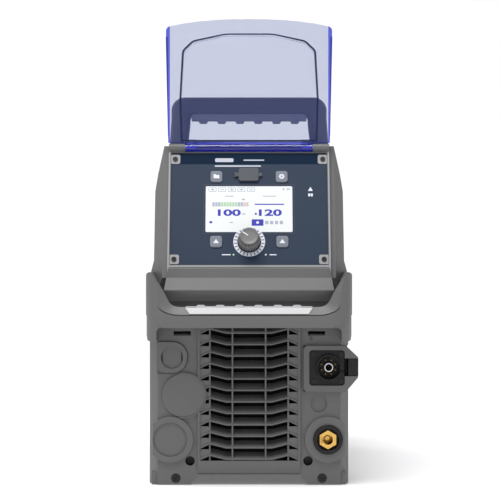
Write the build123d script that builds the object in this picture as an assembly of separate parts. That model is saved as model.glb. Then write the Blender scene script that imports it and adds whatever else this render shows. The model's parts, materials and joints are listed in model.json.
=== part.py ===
from build123d import *
import math
import os

# Plasma cutter unit. Millimetres, +Z up, front towards -Y, origin on the floor under the middle of the case.

# ---- overall sizes ----
low_w = 246.0          # width of the lower mouldings
mid_w = 236.8          # width beside the control panel
case_w = 234.0         # width over the sheet metal side panels
shoulder_w = 213.0     # width where the housing meets the top
front_y = -262.0       # lower front face
rear_y = 262.0         # lower rear face
handle_y = 305.0       # reach of both carrying handles from the middle
frame_back_y = -150.0  # rear edge of the front mouldings
rear_front_y = 205.0   # front edge of the rear moulding
frame_top = 226.0      # lower front moulding ends under the chin
house_top = 420.0      # top of the upper housing
arch_top = 482.7       # top of the carrying arch
wall = 3.5             # moulding wall
sheet = 1.5            # sheet metal
floor_gap = 1.0        # mouldings stay this far above the floor, the rubber feet reach it
foot_h = 16.0          # height of the foot blocks
foot_pad = 5.2         # rubber pads, let into the foot blocks
corner_in = 10.5       # plan chamfer of the lower corners, inwards
corner_back = 20.0     # plan chamfer of the lower corners, backwards
fit = 0.4              # gap between a moving piece and its surroundings
run = 0.05             # radial running clearance of a pin in its bore

# ---- control panel ----
tilt = 22.0            # the panel leans back this far from upright
panel_y = -270.0       # bottom edge of the panel face
panel_z = 269.0
panel_len = 155.0      # up the slope
bezel_w = 201.0        # outer width of the bezel strips
panel_w = 195.4        # width of the panel recess
plate_t = 3.0          # control panel plate
plate_n = -1.5         # plate face lies this far under the bezel strips
ledge_n = -9.0         # landing ledge for the lid's rims
ledge_w = 213.6
display_w = 108.4      # a 5 inch display
display_h = 62.4
display_s = 77.1
button_size = 15.0
button_x = 40.7
button_low_s = 33.0
button_high_s = 120.6
knob_r = 13.95
knob_s = 33.2
knob_top_n = 17.5
shaft_r = 3.0
sleeve_r = 4.5
usb_s = 123.1
screw_x = 92.3
screw_r = 1.7
screw_low_s = 9.6
screw_high_s = 144.6

# ---- lid ----
hinge_s = 160.0        # hinge axis, up the slope, on the plane of the bezel strips
lid_t = 2.5
lid_n = 1.0            # closed lid's border floats this far over the bezel strips
lid_base_w = 203.0
lid_end_w = 209.0
lid_corner_z = 569.0
lid_top_z = 579.0
pan_n = 20.0           # inside height of the lid's raised middle over the bezel strips
barrel_r = 4.5
boss_r = 5.0
barrel_half = 80.0
pin_r = 1.5

# ---- sockets ----
torch_x = 98.0
torch_z = 144.5
torch_r = 16.0
cavity_r = 14.2
gas_r = 4.06
gas_wall = 1.3
key_low = 139.0         # keyway of the torch socket
key_high = 151.2
work_x = 97.0
work_z = 56.0
work_ring_r = 18.3
work_bore_r = 6.0
hex_af = 20.4
boss_big_r = 28.3

# ---- rear and inside ----
fan_z = 150.0
fan_r = 62.0
fan_size = 140.0
gland_x = 70.0
gland_z = 325.0
gland_r = 8.0
switch_x = -62.0
switch_z = 325.0
air_x = 88.0
air_z = 70.0
air_r = 4.5

cos_t = math.cos(math.radians(tilt))
sin_t = math.sin(math.radians(tilt))
hinge_y = panel_y + hinge_s * sin_t
hinge_z = panel_z + hinge_s * cos_t
panel_plane = Plane(origin=(0, panel_y, panel_z), x_dir=(1, 0, 0), z_dir=(0, -cos_t, sin_t))


def box(x0, x1, y0, y1, z0, z1):
    """A block between two corners."""
    solid = Solid.make_box(x1 - x0, y1 - y0, z1 - z0)
    return Pos(x0, y0, z0) * solid


def rod(start, direction, radius, length):
    """A cylinder from a point along a direction."""
    return Solid.make_cylinder(radius, length, Plane(origin=start, z_dir=direction))


def rod_y(x, z, radius, y0, y1):
    return rod((x, y0, z), (0, 1, 0), radius, y1 - y0)


def rod_x(y, z, radius, x0, x1):
    return rod((x0, y, z), (1, 0, 0), radius, x1 - x0)


def rod_z(x, y, radius, z0, z1):
    return rod((x, y, z0), (0, 0, 1), radius, z1 - z0)


def outline(points, place):
    """A closed face through points (a, b) or (a, b, corner radius)."""
    count = len(points)
    starts = []
    ends = []
    mids = []
    for i in range(count):
        here = Vector(points[i][0], points[i][1])
        radius = points[i][2] if len(points[i]) > 2 else 0.0
        if radius <= 0:
            starts.append(here)
            ends.append(here)
            mids.append(None)
            continue
        before = Vector(*points[i - 1][:2]) - here
        after = Vector(*points[(i + 1) % count][:2]) - here
        half = math.radians(before.get_angle(after)) / 2
        reach = radius / math.tan(half)
        starts.append(here + before.normalized() * reach)
        ends.append(here + after.normalized() * reach)
        inward = (before.normalized() + after.normalized()).normalized()
        mids.append(here + inward * (radius / math.sin(half) - radius))
    edges = []
    for i in range(count):
        if mids[i] is not None:
            arc = [place(p.X, p.Y) for p in (starts[i], mids[i], ends[i])]
            edges.append(Edge.make_three_point_arc(*arc))
        nxt = (i + 1) % count
        if (ends[i] - starts[nxt]).length > 1e-6:
            edges.append(Edge.make_line(place(ends[i].X, ends[i].Y), place(starts[nxt].X, starts[nxt].Y)))
    return Face(Wire(edges))


def side_prism(points, x0, x1):
    """A side profile in (y, z) carried across."""
    face = outline(points, lambda a, b: Vector(x0, a, b))
    return Solid.extrude(face, Vector(x1 - x0, 0, 0))


def front_prism(points, y0, y1):
    """A front outline in (x, z) carried backwards."""
    face = outline(points, lambda a, b: Vector(a, y0, b))
    return Solid.extrude(face, Vector(0, y1 - y0, 0))


def plan_prism(points, z0, z1):
    """A plan outline in (x, y) carried upwards."""
    face = outline(points, lambda a, b: Vector(a, b, z0))
    return Solid.extrude(face, Vector(0, 0, z1 - z0))


def both(points):
    """Right-hand points from bottom to top, closed with their mirror image."""
    left = [(-p[0],) + tuple(p[1:]) for p in reversed(points)]
    return list(points) + left


def on_panel(shape):
    """Move a shape from panel coordinates (across, up the slope, outwards) to its place."""
    return panel_plane.location * shape


def rounded_plate(x, s, width, height, radius, n0, n1):
    """A rounded block on the panel, still in panel coordinates."""
    w = width / 2
    h = height / 2
    corners = [(x - w, s - h, radius), (x + w, s - h, radius), (x + w, s + h, radius), (x - w, s + h, radius)]
    return plan_prism(corners, n0, n1)


def mirror_y(shape):
    return shape.mirror(Plane.XZ)


def largest(shape):
    """The biggest solid of a shape, without the slivers that a cut leaves."""
    return max(shape.solids(), key=lambda s: s.volume)


def save(name, *shapes):
    solids = [s for shape in shapes for s in shape.solids()]
    body = solids[0] if len(solids) == 1 else Compound(children=solids)
    export_step(body, "parts/" + name + ".step")


os.makedirs("parts", exist_ok=True)
low = low_w / 2
mid = mid_w / 2
case = case_w / 2
shoulder = shoulder_w / 2


# ---- lower front moulding ----
def plan_outline(inset, back):
    """Half of the lower plan outline with its chamfered corner, inset by the wall."""
    slant = inset * (math.hypot(corner_in, corner_back) - corner_back) / corner_in
    front = front_y + inset
    side = low - inset
    low_in = low - corner_in - inset + (inset - slant) * 0.5
    return [(low_in, front), (side, front_y + corner_back + slant), (side, back)]


def lower_shell(z0, z1, back):
    outer = plan_outline(0, back)
    inner = plan_outline(wall, back + 1)
    outer_pts = outer + [(-p[0], p[1]) for p in reversed(outer)]
    inner_pts = inner + [(-p[0], p[1]) for p in reversed(inner)]
    return plan_prism(outer_pts, z0, z1) - plan_prism(inner_pts, z0 - 1, z1 + 1)


notch_low = 73.0
notch_high = 63.6
notch_z = 12.3
grille_half = 63.0
grille_top = 197.0
grille_low = 13.5
small_x = -94.7
small_z = 156.8
small_r = 13.5
large_x = -80.3
large_z = 110.4
large_r = 26.4
blank_r = 20.9
torch_low_z = 114.8
torch_high_z = 171.4
torch_left_x = 67.0
torch_back_y = -216.0

front_frame = lower_shell(floor_gap, frame_top, frame_back_y)
for sign in (-1, 1):
    x0, x1 = sorted((sign * (notch_high + 1), sign * (low - wall + 0.5)))
    front_frame += box(x0, x1, front_y + wall - 0.5, front_y + 60, floor_gap, foot_h)
notch = [(-notch_low, 0), (notch_low, 0), (notch_high, notch_z, 1.5), (-notch_high, notch_z, 1.5)]
front_frame -= front_prism(notch, front_y - 1, front_y + 70)
front_frame -= box(-grille_half, grille_half, front_y - 1, front_y + wall + 1, grille_low, grille_top)
boss_t = 3.4
for x, z, r in ((work_x, work_z, boss_big_r), (-work_x, work_z, boss_big_r)):
    boss = rod_y(x, z, r, front_y - boss_t, front_y + 0.5) & box(-low, low, -300, 0, floor_gap, frame_top)
    front_frame += boss & plan_prism(both([(low - 5.0, -300.0), (low - 5.0, 0.0)]), 0, 300)
big_boss = rod_y(large_x, large_z, large_r + 1.6, front_y - boss_t, front_y + wall)
front_frame += big_boss & box(large_x - 6, low, -300, 0, 0, 300)
small_boss = [(-113.5, 144.0, 1), (-106.0, 138.0, 3), (-76.0, 138.0, 18), (-76.0, 176.0, 18), (-113.5, 176.0, 2)]
front_frame += front_prism(small_boss, front_y - boss_t, front_y + 0.5)
groove_d = 1.5
small_groove = [(-114.6, 137.0), (-74.9, 137.0, 19), (-74.9, 177.1, 19), (-114.6, 177.1)]
small_groove_cut = front_prism(small_groove, front_y - 0.5, front_y + groove_d)
small_groove_cut -= front_prism(small_boss, front_y - 1, front_y + 2)
front_frame -= small_groove_cut & box(-113.0, -70.0, -270, -250, 137.0, 180.0)
front_frame -= rod_y(small_x, small_z, small_r, front_y - 5, front_y + wall + 1)
front_frame -= rod_y(large_x, large_z, large_r + 0.2, front_y - 5, front_y + wall + 1)
front_frame -= rod_y(-work_x, work_z, blank_r, front_y - 5, front_y + wall + 1)
front_frame -= rod_y(work_x, work_z, work_ring_r, front_y - 5, front_y + wall + 1)
slot_shape = [(front_y - 1, 189.2), (front_y + wall + 1, 189.2), (front_y + wall + 1, 186.4), (front_y - 1, 182.6)]
front_frame -= side_prism(slot_shape, -92.7, -71.6)
front_frame -= side_prism(slot_shape, 72.6, 93.5)
front_frame -= box(75.0, 78.2, front_y - 1, front_y + 1.6, 179.0, 186.0)
front_frame -= rod_y(85.7, 100.0, 10.3, front_y - 1, front_y + 2.0)
front_frame -= box(torch_left_x, low + 1, front_y - 1, torch_back_y, torch_low_z, torch_high_z)
deep_x = 72.5
deep_z = 29.5
deep_r = 5.9
foot_screw_x = 90.0
foot_screw_z = 8.4
for sign in (-1, 1):
    front_frame += rod_y(sign * deep_x, deep_z, deep_r + 2.4, front_y + 0.5, front_y + 20)
    front_frame -= rod_y(sign * deep_x, deep_z, deep_r, front_y - 1, front_y + 17)
    front_frame -= rod_y(sign * deep_x, deep_z, 2.6, front_y + 10, front_y + 21)
    front_frame -= rod_y(sign * foot_screw_x, foot_screw_z, deep_r, front_y - 1, front_y + 3)
    front_frame -= rod_y(sign * foot_screw_x, foot_screw_z, 2.5, front_y, front_y + 20)
    front_frame -= rod_z(sign * 98.0, front_y + 27, 12.0, floor_gap - 1, foot_pad)
save("front_frame", front_frame)

# ---- screws of the lower front ----
front_screws = []
for sign in (-1, 1):
    for x, z, y in ((deep_x, deep_z, front_y + 14), (foot_screw_x, foot_screw_z, front_y + 0.6)):
        head = rod_y(sign * x, z, 4.6, y, y + (3 if x == deep_x else 2.4))
        shank = rod_y(sign * x, z, 2.5, y + 1, y + 18)
        screw = head + shank
        screw -= Pos(sign * x, y, z) * Box(5.2, 2.6, 1.2)
        screw -= Pos(sign * x, y, z) * Box(1.2, 2.6, 5.2)
        front_screws.append(screw)
save("front_screws", *front_screws)

# ---- louvre block ----
row_count = 12
row_pitch = 14.1
row_first = 31.2
peak_rise = 5.8
flat_rise = 0.7
slat_front = front_y - 3.0
slat_back = front_y + 12.0
rib_in = 20.4
rib_out = 48.2
flat_half = 28.0
tip_half = 60.6
frame_plate = box(-grille_half, grille_half, front_y - 3, front_y + 4, 22.7, grille_top)
lip = [(front_y - 3, 22.7), (front_y - 3, 24.0), (front_y + 4, 24.0), (front_y + 4, grille_low),
       (front_y + 1, grille_low)]
grille = frame_plate + side_prism(lip, -grille_half, grille_half)
window = box(-tip_half, tip_half, front_y - 5, front_y + 5, row_first - 1.2, grille_top - 0.8)
grille -= window
slat_pieces = []
breaks = [(-tip_half - 0.4, 0.0), (-rib_out, peak_rise), (-flat_half, flat_rise), (flat_half, flat_rise),
          (rib_out, peak_rise), (tip_half + 0.4, 0.0)]
for row in range(row_count):
    z = row_first + row * row_pitch
    depth = [(slat_front, z - 0.9), (slat_front, z + 0.6), (slat_back, z + 8.2), (slat_back, z + 6.4)]
    for (xa, za), (xb, zb) in zip(breaks[:-1], breaks[1:]):
        face = outline([(y, h + za) for y, h in depth], lambda a, b, x=xa: Vector(x, a, b))
        slat_pieces.append(Solid.extrude(face, Vector(xb - xa, 0, zb - za)))
    for sign in (-1, 1):
        gusset = [(sign * (tip_half + 0.4), z - 0.4), (sign * rib_out, z + peak_rise - 0.4),
                  (sign * rib_out, z + row_pitch - 1.6), (sign * (tip_half + 0.4), z + row_pitch - 1.0)]
        slat_pieces.append(front_prism(gusset, front_y - 1.4, front_y + 3.0))
for x in (-rib_out, -rib_in, rib_in, rib_out):
    slat_pieces.append(box(x - 0.95, x + 0.95, front_y - 1.8, slat_back - 1, row_first - 1.5, grille_top - 0.5))
grille = grille.fuse(*slat_pieces)
grille &= box(-grille_half, grille_half, front_y - 6, slat_back - 0.5, grille_low, grille_top)
grille -= rod_y(large_x, large_z, large_r + 1.6, front_y - 6, front_y + wall + 3)
for sign in (-1, 1):
    grille -= rod_y(sign * deep_x, deep_z, deep_r + 2.6, front_y - 6, front_y + 21)
grille = largest(grille)
save("front_grille", grille)

# ---- air filter behind the louvres ----
filter_y = slat_back + 1.5
air_filter = box(-grille_half + 1, grille_half - 1, filter_y, filter_y + 6, 24.0, 205.0)
save("air_filter", air_filter)

# ---- blanking plugs ----
small_plug = rod_y(small_x, small_z, small_r, front_y - 1.4, front_y + wall)
small_plug &= box(small_x - 11.6, small_x + 11.6, -300, 0, 0, 300)
small_plug += rod_y(small_x, small_z, small_r + 0.6, front_y + wall, front_y + wall + 2)
large_plug = rod_y(large_x, large_z, large_r + 0.2, front_y - 2.4, front_y + wall)
large_plug += rod_y(large_x, large_z, large_r + 1.2, front_y + wall, front_y + wall + 2)
socket_plug = rod_y(-work_x, work_z, blank_r, front_y - 1.2, front_y + wall)
socket_plug += rod_y(-work_x, work_z, 12.5, front_y + wall, front_y + wall + 2)
save("blank_plugs", small_plug, large_plug, socket_plug)

# ---- work lead socket ----
shell = rod_y(work_x, work_z, work_ring_r, front_y - 6.0, front_y + wall)
shell += rod_y(work_x, work_z, 13.0, front_y + 2, front_y + 12)
shell -= rod_y(work_x, work_z, 13.2, front_y - 7, front_y + 3)
shell -= rod_y(work_x, work_z, 10.0, front_y, front_y + 13)
save("work_socket_shell", shell)
hex_r = hex_af / 2 / math.cos(math.pi / 6)
hex_pts = [(work_x + hex_r * math.sin(k * math.pi / 3), work_z + hex_r * math.cos(k * math.pi / 3))
           for k in range(6)]
contact = front_prism(hex_pts, front_y - 5.0, front_y + 3)
contact += rod_y(work_x, work_z, 10.0, front_y + 2, front_y + 34)
contact += rod_y(work_x, work_z, 5.0, front_y + 33, front_y + 50)
bore_len = 22.0
contact -= rod_y(work_x, work_z, work_bore_r, front_y - 5.0, front_y - 5.0 + bore_len)
tail_bore = rod_y(work_x, work_z, work_bore_r - 0.6, front_y - 6.0 + bore_len, front_y + 30)
contact -= tail_bore - rod_y(work_x, work_z, 3.0, front_y, front_y + 30)
save("work_socket_contact", contact)
nut_pts = [(work_x + 17 * math.sin(k * math.pi / 3), work_z + 17 * math.cos(k * math.pi / 3)) for k in range(6)]
nut = front_prism(nut_pts, front_y + 12, front_y + 19) - rod_y(work_x, work_z, 10.0, front_y + 11, front_y + 20)
save("work_socket_nut", nut)

# ---- torch receptacle ----
bulge_x = 134.0
frame_front = front_y - 6.0
tab_low = 134.4
tab_high = 155.6
shape = [(torch_left_x, torch_low_z, 5), (119.0, torch_low_z, 4), (bulge_x, 132.6, 2), (bulge_x, 157.4, 2),
         (119.0, torch_high_z, 4), (torch_left_x, torch_high_z, 5)]
housing = front_prism(shape, frame_front, torch_back_y)
housing -= front_prism([(74.0, 122.5, 4), (117.5, 122.5, 4), (117.5, 166.0, 4), (74.0, 166.0, 4)],
                       frame_front - 1, front_y - 1)
housing -= box(117.0, bulge_x + 1, frame_front - 1, -238.0, tab_low - fit, tab_high + fit)
housing -= box(70.0, torch_x + torch_r + 1.5, front_y + 4, torch_back_y + 1, torch_z - torch_r - 10.5,
               torch_z + torch_r + 7.9)
housing -= box(torch_x + 8, 117.2, frame_front - 1, front_y + 3.0, key_low, key_high)
housing -= rod_y(torch_x, torch_z, torch_r, frame_front - 1, front_y + 5)
save("torch_housing", housing)
flange = front_prism([(74.3, 122.8, 4), (117.2, 122.8, 4), (117.2, 165.7, 4), (74.3, 165.7, 4)],
                     front_y - 2.8, front_y - 1)
flange -= rod_y(torch_x, torch_z, torch_r, front_y - 4, front_y)
flange -= box(torch_x + 8, 118.0, front_y - 4, front_y, key_low, key_high)
save("torch_flange", flange)
insulator = rod_y(torch_x, torch_z, torch_r, front_y - 10, front_y + 36)
cavity_floor = front_y + 22
insulator -= rod_y(torch_x, torch_z, cavity_r, front_y - 11, cavity_floor)
insulator -= rod_y(torch_x, torch_z, gas_r + gas_wall, cavity_floor - 1, front_y + 37)
insulator -= box(torch_x + 8, torch_x + torch_r + 1, front_y - 11, front_y + 1.6, key_low, key_high)
insulator += box(torch_x + torch_r - 2, 116.8, front_y + 1.6, front_y + 2.7, key_low + 0.3, key_high - 0.3)
pins = []
for k in range(8):
    turn = math.radians(22.5 + 45 * k)
    px = torch_x + 9.2 * math.cos(turn)
    pz = torch_z + 9.2 * math.sin(turn)
    pins.append(rod_y(px, pz, 0.9, front_y + 8, cavity_floor + 6))
    insulator -= pins[-1]
save("torch_insulator", insulator)
save("torch_pins", *pins)
tube = rod_y(torch_x, torch_z, gas_r + gas_wall, front_y - 2, front_y + 44)
tube -= rod_y(torch_x, torch_z, gas_r, front_y - 3, front_y + 28)
tube -= rod_y(torch_x, torch_z, 2.0, front_y + 20, front_y + 45)
save("torch_gas_tube", tube)
flange_screws = []
for x in (79.0, 113.2):
    for z in (127.5, 161.2):
        screw = rod_y(x, z, 2.9, front_y - 4.4, front_y - 2.8)
        screw -= Pos(x, front_y - 4.4, z) * Box(3.4, 1.4, 0.8)
        flange_screws.append(screw)
save("torch_flange_screws", *flange_screws)
tab = box(121.5, bulge_x + 0.3, frame_front + 0.8, -239.0, tab_low, tab_high)
tab = tab.fillet(1.6, tab.edges().filter_by(Axis.Z))
save("torch_release_button", tab)

# ---- front carrying handle, used again at the rear ----
bar_low = 194.6
bar_mid = 209.7
bar_top = 219.5
bar_back = 288.0
arm_low = 178.0
cheek_top = 262.0
handle_half = 126.0


inner_edge = [(119.6, 267.0), (116.9, 260.0), (105.2, 241.0), (101.4, 233.8), (98.4, 227.9), (96.0, 224.3),
              (93.0, 221.8), (89.0, 220.3), (84.5, 219.8), (78.0, bar_top + 0.2)]
lip_edge = [(121.5, 267.0), (119.6, 257.0), (115.8, 242.0), (114.4, 232.0), (113.0, 223.5), (110.4, 218.4),
            (105.4, 214.2), (98.5, 211.3), (90.0, 209.5), (78.0, bar_mid - 0.5)]
edge_depth = 7.5       # the sloping band between the two edges reaches this far back


def closed_wire(points, y):
    """A closed wire at one depth through right-hand points from top to bottom and their mirror image."""
    loop = [(x, z) for x, z in points] + [(-x, z) for x, z in reversed(points)]
    return Wire.make_polygon([Vector(x, y, z) for x, z in loop], close=True)


def stretched(factor):
    """Points on the way from the inner edge (0) to the lip (1) and past it."""
    return [(a[0] + (b[0] - a[0]) * factor, a[1] + (b[1] - a[1]) * factor) for a, b in zip(inner_edge, lip_edge)]


def make_handle():
    """Bumper handle: a bar between two cheeks that wrap the lower corners."""
    silhouette = [(112.4, bar_low, 6), (112.4, arm_low, 2), (handle_half, arm_low, 6), (handle_half, cheek_top, 5),
                  (117.7, cheek_top)] + inner_edge[1:]
    body = front_prism(both(silhouette), -handle_y, -200.0)
    outer = [(handle_half, -200.0), (handle_half, -handle_y, 26)]
    outer_pts = outer + [(-p[0],) + tuple(p[1:]) for p in reversed(outer)]
    body &= plan_prism(outer_pts, 100, 300)
    gap = [(112.4, -190.0), (112.4, -bar_back, 14)]
    gap_pts = gap + [(-p[0],) + tuple(p[1:]) for p in reversed(gap)]
    body -= plan_prism(gap_pts, 100, 300)
    slope = [(-handle_y - 1, bar_mid), (-handle_y, bar_mid), (-handle_y + 6, cheek_top + 9),
             (-handle_y - 1, cheek_top + 9)]
    body -= side_prism(slope, -130, 130)
    over = 1.5 / edge_depth
    band = Solid.make_loft([closed_wire(inner_edge, -handle_y + edge_depth),
                            closed_wire(stretched(1 + over), -handle_y - 1.5)], ruled=True)
    body -= band
    groove = front_prism(both(list(reversed(stretched(1.0)))), -handle_y - 2, -handle_y + 2.6)
    groove -= front_prism(both(list(reversed(stretched(0.87)))), -handle_y - 3, -handle_y + 4)
    body -= groove
    step_low = [(86.0, 160.0), (86.0, 193.4), (101.5, 194.6), (111.2, 198.4), (117.9, 205.0), (130.0, 213.0),
                (130.0, 160.0)]
    step_in = 1.4
    inner_plan = [(handle_half - step_in, -200.0), (handle_half - step_in, -handle_y + step_in, 26 - step_in)]
    inner_plan = inner_plan + [(-p[0],) + tuple(p[1:]) for p in reversed(inner_plan)]
    rind = plan_prism(outer_pts, 150, 240) - plan_prism(inner_plan, 140, 250)
    rind &= box(-140, 140, -320, -262, 150, 240)
    for sign in (-1, 1):
        body -= rind & front_prism([(sign * x, z) for x, z in step_low], -320, -250)
    shell = plan_outline(0, -140.0)
    shell_pts = shell + [(-p[0], p[1]) for p in reversed(shell)]
    body -= plan_prism(shell_pts, 0, frame_top)
    body -= housing_envelope(0.0)
    return body


def housing_envelope(inset):
    """Upper housing without its chin, as a solid; inset makes the hollow inside it."""
    n = -inset
    start = (-2.0, n if inset else 0.0)
    face_low = (panel_y + start[0] * sin_t - n * cos_t, panel_z + start[0] * cos_t + n * sin_t)
    top_s = 157.0 if not inset else 150.0
    face_high = (panel_y + top_s * sin_t - n * cos_t, panel_z + top_s * cos_t + n * sin_t)
    thick = wall if inset else 0.0
    base = frame_top - (1.0 if inset else 0.0)
    profile = [(front_y + thick, base), (front_y + thick - 1.5, 248.0), face_low, face_high,
               (-203.0 + thick, house_top - thick), (frame_back_y + (1.0 if inset else 0.0), house_top - thick),
               (frame_back_y + (1.0 if inset else 0.0), base)]
    body = side_prism(profile, -130, 130)
    silhouette = [(low - 0.5 - thick, base), (low - 1 - thick, 262.0), (mid - thick, 276.0), (mid - thick, 363.0),
                  (114.7 - thick, 385.0), (shoulder - thick, house_top + 1)]
    body &= front_prism(both(silhouette), -330, -100)
    half = bezel_w / 2 - thick
    ledge = ledge_n - thick
    section = [(half, -inset if inset else 0.0), (half, ledge), (ledge_w / 2 - thick, ledge),
               (mid + 0.2 - thick, -34.0 - thick), (130.0 - thick, -46.0 - thick), (130.0 - thick, -260.0)]
    body &= on_panel(section_prism(section))
    return body


def section_prism(section):
    """A section in (across, outwards) carried along the slope, in panel coordinates."""
    points = section + [(-p[0], p[1]) for p in reversed(section)]
    face = outline(points, lambda a, b: Vector(a, -80.0, b))
    return Solid.extrude(face, Vector(0, 290.0, 0))


front_handle = make_handle()
grip_half = 77.0
grip_low = 211.6
bump_pitch = 23.4
bump_w = 11.0
grip_step = 1.0
slope_dy = 7.5
slope_dz = bar_top + 0.2 - bar_mid + 0.5


def slope_y(z):
    """Front surface of the bar's sloping top."""
    return -handle_y + (z - bar_mid + 0.5) * slope_dy / slope_dz


def make_front_grip():
    profile = [(slope_y(grip_low) - grip_step, grip_low), (slope_y(219.0) - grip_step, 219.0, 0.8),
               (-bar_back + 1.5, 220.6, 0.8), (-bar_back + 1.5, 206.0), (-bar_back - 1.0, 206.0),
               (-bar_back - 1.0, 216.5), (slope_y(216.5) + 2.5, 216.5), (slope_y(grip_low) + 2.5, grip_low)]
    body = side_prism(profile, -grip_half, grip_half)
    trim = [(grip_half, 200.0), (grip_half - 5.0, grip_low - 0.1), (grip_half, 218.4), (grip_half, 230.0)]
    body &= front_prism(both(trim), -320, -270)
    for k in range(6):
        x = (k - 2.5) * bump_pitch
        bump = [(x - bump_w / 2, 218.5), (x + bump_w / 2, 218.5), (x + bump_w / 2, 222.2, 2.6),
                (x - bump_w / 2, 222.2, 2.6)]
        body += front_prism(bump, slope_y(219.0) - grip_step + 0.6, -bar_back + 1.2)
    return body


front_grip = make_front_grip()
front_handle = largest(front_handle - front_grip)
save("front_handle", front_handle)
save("front_handle_grip", front_grip)

# ---- upper housing with chin and hinge bosses ----
bezel = housing_envelope(0.0) - housing_envelope(7.5)
chin_pts = [(-258.0, frame_top), (-270.0, frame_top), (-286.0, 239.5, 1.5), (-277.0, 255.0, 2), (-275.6, 267.0, 1),
            (-269.0, 267.0), (-262.0, 250.0)]
chin = side_prism(chin_pts, -110, 110)
chin &= front_prism(both([(105.5, frame_top - 1), (105.5, 230.0), (99.0, 268.0)]), -300, -240)
bezel += chin
window_cut = rounded_plate(0, 77.5, 184.0, 141.0, 3, -12, 1)
recess_cut = rounded_plate(0, 77.5, panel_w, 151.4, 3, plate_n - plate_t, 1)
bezel -= on_panel(window_cut)
bezel -= on_panel(recess_cut)
for x in (-screw_x, screw_x):
    for s in (screw_low_s, screw_high_s):
        bezel -= on_panel(rod_z(x, s, screw_r, -20, 0))
bezel -= rod_x(hinge_y, hinge_z, barrel_r + 1.5, -barrel_half - fit, barrel_half + fit)
for sign in (-1, 1):
    x0, x1 = sorted((sign * (barrel_half + fit), sign * 100.5))
    bezel += rod_x(hinge_y, hinge_z, boss_r, x0, x1)
    foot = side_prism([(hinge_y - 2, hinge_z), (hinge_y + 4.5, hinge_z), (hinge_y + 7, house_top - 4),
                       (hinge_y - 1.5, house_top - 7)], x0, x1)
    bezel += foot
    bezel -= rod_x(hinge_y, hinge_z, pin_r, x0 - 1, x1 + 1)
save("panel_bezel", bezel)

# ---- carrying arch ----
arch_y0 = -184.0
arch_y1 = -152.0
arch_out = both([(101.0, house_top), (98.5, 455.0), (98.5, arch_top, 17)])
arch_in = both([(78.5, house_top - 1), (75.0, 450.0), (75.0, 461.7, 7)])
arch = front_prism(arch_out, arch_y0, arch_y1) - front_prism(arch_in, arch_y0 - 1, arch_y1 + 1)
arch_edges = arch.edges().filter_by(Plane.XZ).filter_by(lambda e: e.bounding_box().min.Z > house_top + 1)
arch = arch.fillet(3.0, arch_edges)
grip_z = 453.6
top_grip = box(-73.0, 73.0, arch_y0 + 4, arch_y1 - 4, grip_z, 463.2)
for k in range(6):
    x = (k - 2.5) * bump_pitch
    bump = [(x - bump_w / 2, grip_z - 3.2, 2.6), (x + bump_w / 2, grip_z - 3.2, 2.6),
            (x + bump_w / 2, grip_z + 1), (x - bump_w / 2, grip_z + 1)]
    top_grip += front_prism(bump, arch_y0 + 5, arch_y1 - 5)
arch -= top_grip
save("top_handle", arch)
save("top_handle_grip", top_grip)

# ---- lid, modelled open ----
sheet_y0 = hinge_y + lid_n
sheet_y1 = sheet_y0 + lid_t
rim_y = hinge_y + ledge_n + 1.0
lid_low_z = hinge_z + boss_r + 1.2


def lid_face(inset, y0, y1, low_z):
    """The lid's outline: straight sides and a bowed free end."""
    b = lid_base_w / 2 - inset
    e = lid_end_w / 2 - inset
    steps = 10
    points = [(b, low_z), (e, lid_corner_z - inset, 6.0)]
    for k in range(1, steps):
        x = e * (1 - 2 * k / steps)
        bow = 1 - abs(x / e) ** 2.4
        points.append((x, lid_corner_z - inset + (lid_top_z - lid_corner_z) * bow))
    points += [(-e, lid_corner_z - inset, 6.0), (-b, low_z)]
    return front_prism(points, y0, y1)


pan_low = hinge_z + 7.5
pan_edge = [(86.0, pan_low), (87.5, 480.0), (84.2, 540.0, 9), (71.0, 552.5, 14), (30.0, 561.2, 60)]
pan_inner = [(83.5, pan_low + 2.5), (85.0, 480.0), (81.7, 538.6, 7), (69.6, 550.4, 12), (29.7, 559.2, 58)]
pan_pts = both(pan_edge)
pan_in = both(pan_inner)
lid = lid_face(0.0, sheet_y0, sheet_y1, lid_low_z)
lid += front_prism(pan_pts, sheet_y0, hinge_y + pan_n + lid_t)
lid -= front_prism(pan_in, sheet_y0 - 1, hinge_y + pan_n)
lid += box(-barrel_half, barrel_half, sheet_y0, sheet_y1, hinge_z, lid_low_z + 1)
lid += rod_x(hinge_y, hinge_z, barrel_r, -barrel_half, barrel_half)
for sign in (-1, 1):
    rim = [(sign * lid_base_w / 2, lid_low_z + 8), (sign * (lid_end_w / 2 - 0.2), 556.0),
           (sign * (lid_end_w / 2 - 2.6), 556.0), (sign * (bezel_w / 2 + 0.5), lid_low_z + 8)]
    lid += front_prism(rim, rim_y, sheet_y1)
    x0, x1 = sorted((sign * (barrel_half - 14), sign * (barrel_half + 1)))
    lid -= rod_x(hinge_y, hinge_z, pin_r + run, x0, x1)
    k0, k1 = sorted((sign * (barrel_half - 14), sign * barrel_half))
    lid += box(k0, k1, sheet_y0, hinge_y + 7.5, hinge_z + 3.2, hinge_z + 10.5)
save("lid", lid)
pins = []
for sign in (-1, 1):
    x0, x1 = sorted((sign * (barrel_half - 13), sign * 100.0))
    pins.append(rod_x(hinge_y, hinge_z, pin_r, x0, x1))
save("hinge_pins", *pins)

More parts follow.
